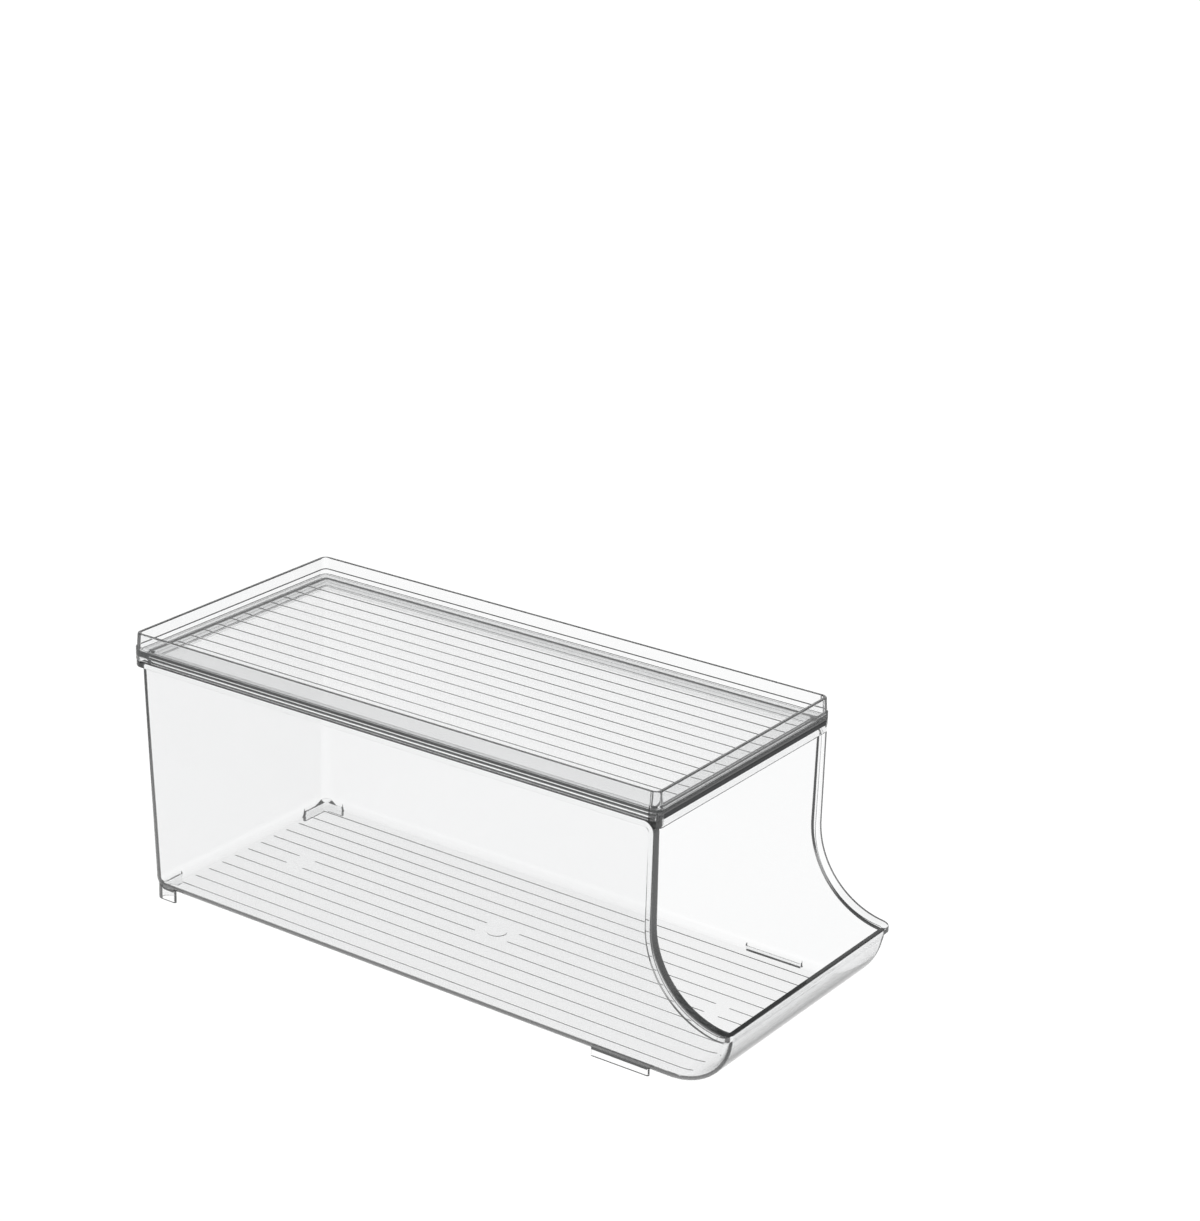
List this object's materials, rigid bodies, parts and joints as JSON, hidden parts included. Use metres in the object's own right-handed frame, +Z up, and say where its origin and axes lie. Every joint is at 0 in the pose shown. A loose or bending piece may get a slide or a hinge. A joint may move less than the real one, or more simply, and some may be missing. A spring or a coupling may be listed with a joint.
{
  "type": "fridge bin",
  "caption": "Clear plastic refrigerator bin with a low scooped front opening and a lift-off tray lid, for food and drinks.",
  "frame": {"origin": "middle of the footprint, on the plane that the feet rest on", "axes": "+Z up, length along Y with the scooped front opening facing -Y, width along X"},
  "size_m": [0.146, 0.348, 0.142],
  "materials": {
    "body_plastic": "clear glossy moulded plastic, colourless with a faint cool tint",
    "lid_plastic": "clear glossy moulded plastic, colourless with a faint cool tint"
  },
  "bodies": {
    "bin": {"bin_body": "body_plastic"},
    "lid": {"lid": "lid_plastic"}
  },
  "joints": [
    {"name": "lid_lift", "type": "slide", "parent": "bin", "child": "lid", "axis": [0, 0, 1], "range_m": [0, 0.1]}
  ]
}
